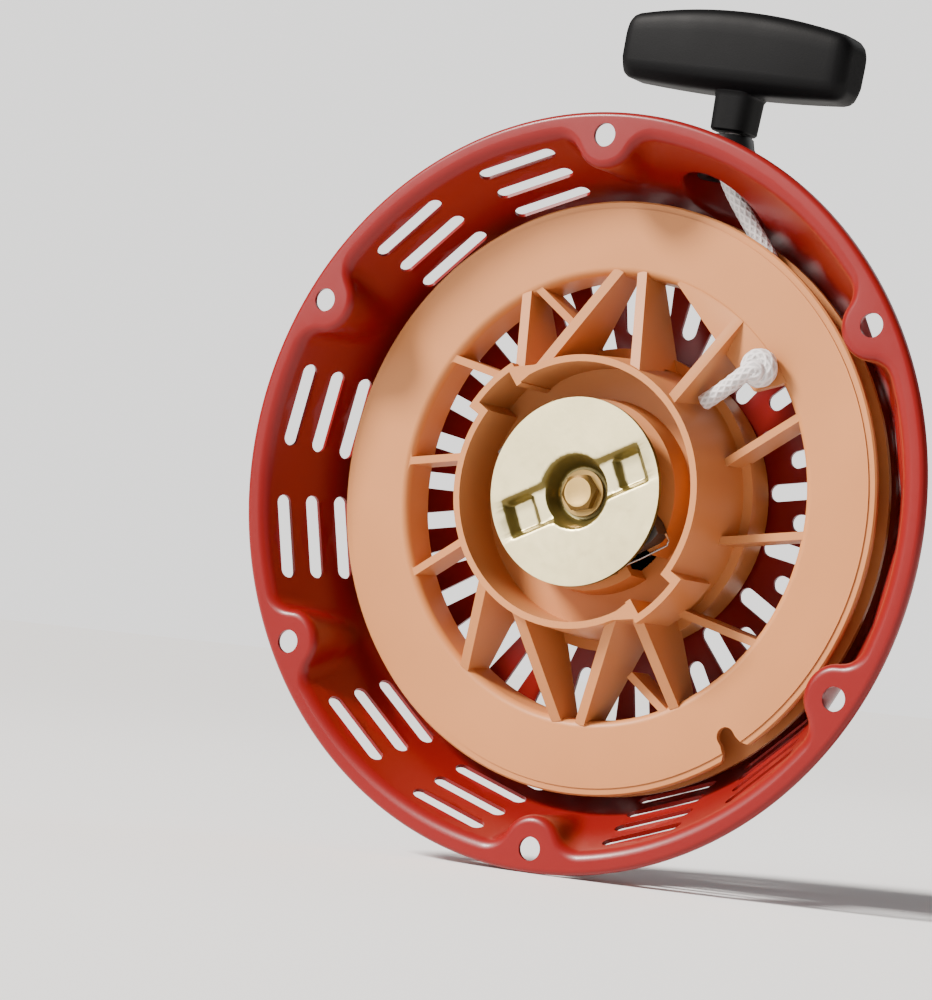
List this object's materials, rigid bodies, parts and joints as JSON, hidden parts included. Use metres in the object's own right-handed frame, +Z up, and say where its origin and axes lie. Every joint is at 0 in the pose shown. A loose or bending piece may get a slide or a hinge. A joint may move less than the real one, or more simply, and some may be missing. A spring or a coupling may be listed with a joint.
{
  "type": "recoil starter",
  "caption": "Recoil starter for a small engine: vented pressed housing with a bolt flange, rope reel on a centre post, rewind spring, swing-out ratchets, guide disc, rope and T grip.",
  "frame": {"origin": "centre of the bolt circle, in the flange's engine-side face, on the reel's axis", "axes": "-Y points out of the mouth towards the engine along the reel's axis, +Z is up, towards the top bolt hole and the grip, and +X is to the right seen from the engine"},
  "size_m": [0.224, 0.0477, 0.2589],
  "materials": {
    "red_paint": "gloss",
    "zinc_plate": "zinc plated",
    "yellow_zinc": "pale yellow zinc plated",
    "dark_steel": "sintered, oiled",
    "spring_steel": "satin",
    "tan_nylon": "moulded",
    "black_plastic": "moulded, fine texture",
    "rope": "braided polyester"
  },
  "bodies": {
    "housing": {"housing_shell": "red_paint", "center_post": "zinc_plate", "rope_guide": "black_plastic", "friction_spring": "spring_steel", "screw_washer": "zinc_plate", "setting_screw": "yellow_zinc", "rope_run": "rope"},
    "reel": {"reel": "tan_nylon", "recoil_spring": "spring_steel", "rope_winding": "rope", "rope_knot": "rope", "ratchet_spring_a": "spring_steel", "ratchet_spring_b": "spring_steel"},
    "ratchet_a": {"ratchet_a": "dark_steel"},
    "ratchet_b": {"ratchet_b": "dark_steel"},
    "guide": {"ratchet_guide": "yellow_zinc"},
    "handle": {"grip": "black_plastic", "grip_knot": "rope", "rope_stub": "rope"}
  },
  "joints": [
    {"name": "reel_spin", "type": "hinge", "parent": "housing", "child": "reel", "pos_m": [0, 0, 0], "axis": [0, -1, 0], "range_deg": [0, 1080], "stiffness_Nm_per_rad": 0.03, "springref_deg": -721.93, "deforming": ["recoil_spring"]},
    {"name": "handle_pull", "type": "slide", "parent": "housing", "child": "handle", "axis": [0.0958, 0, 0.9954], "range_m": [0, 1.435]},
    {"name": "guide_lag", "type": "hinge", "parent": "reel", "child": "guide", "pos_m": [0, 0, 0], "axis": [0, -1, 0], "range_deg": [-35, 0]},
    {"name": "ratchet_a_swing", "type": "hinge", "parent": "reel", "child": "ratchet_a", "pos_m": [0.01, 0, -0.01732], "axis": [0, -1, 0], "range_deg": [-52.6, 0], "stiffness_Nm_per_rad": 0.01, "springref_deg": 17.19, "deforming": ["ratchet_spring_a"]},
    {"name": "ratchet_b_swing", "type": "hinge", "parent": "reel", "child": "ratchet_b", "pos_m": [-0.01, 0, 0.01732], "axis": [0, -1, 0], "range_deg": [-52.6, 0], "stiffness_Nm_per_rad": 0.01, "springref_deg": 17.19, "deforming": ["ratchet_spring_b"]}
  ],
  "couplings": [
    {"joint": "handle_pull", "follows": "reel_spin", "m_per_rad": 0.0759},
    {"joint": "ratchet_a_swing", "follows": "guide_lag", "ratio": 1.5},
    {"joint": "ratchet_b_swing", "follows": "guide_lag", "ratio": 1.5}
  ]
}
